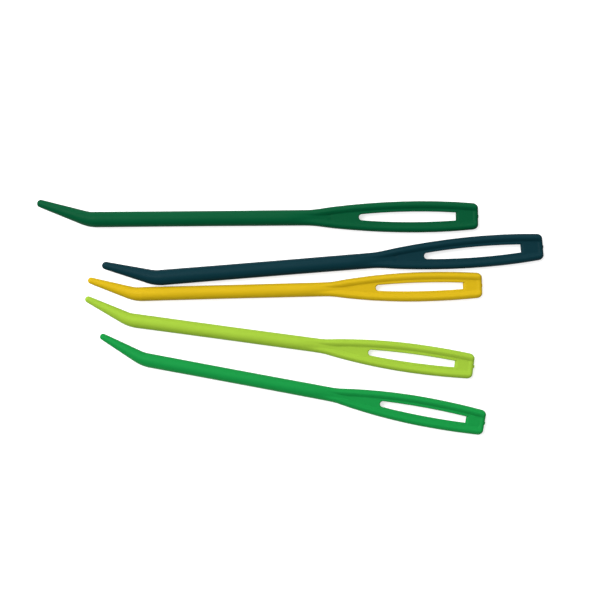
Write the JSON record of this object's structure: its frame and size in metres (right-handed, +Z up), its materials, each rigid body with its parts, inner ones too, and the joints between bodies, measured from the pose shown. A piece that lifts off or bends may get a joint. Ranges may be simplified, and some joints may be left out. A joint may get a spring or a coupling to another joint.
{
  "type": "yarn needle",
  "caption": "Set of loose moulded plastic yarn needles with bent blunt tips, round shafts and long oval eyes between two raised rails, lying side by side.",
  "frame": {"origin": "centre of the set's bounding box, on the surface that the needles lie on", "axes": "+X along the needles from their tips towards their eyes, +Y across the row, +Z up"},
  "size_m": [0.1722, 0.08, 0.0053],
  "materials": {
    "forest_green_plastic": "satin moulded",
    "dark_teal_plastic": "satin moulded",
    "yellow_plastic": "satin moulded",
    "lime_green_plastic": "satin moulded",
    "emerald_green_plastic": "satin moulded"
  },
  "bodies": {
    "yellow": {"yellow_needle": "yellow_plastic"},
    "forest_green": {"forest_green_needle": "forest_green_plastic"},
    "dark_teal": {"dark_teal_needle": "dark_teal_plastic"},
    "lime_green": {"lime_green_needle": "lime_green_plastic"},
    "emerald_green": {"emerald_green_needle": "emerald_green_plastic"}
  },
  "joints": [
    {"name": "forest_green_lift", "type": "slide", "parent": "yellow", "child": "forest_green", "axis": [0, 0, 1], "range_m": [0, 0.03]},
    {"name": "dark_teal_lift", "type": "slide", "parent": "yellow", "child": "dark_teal", "axis": [0, 0, 1], "range_m": [0, 0.03]},
    {"name": "lime_green_lift", "type": "slide", "parent": "yellow", "child": "lime_green", "axis": [0, 0, 1], "range_m": [0, 0.03]},
    {"name": "emerald_green_lift", "type": "slide", "parent": "yellow", "child": "emerald_green", "axis": [0, 0, 1], "range_m": [0, 0.03]}
  ]
}
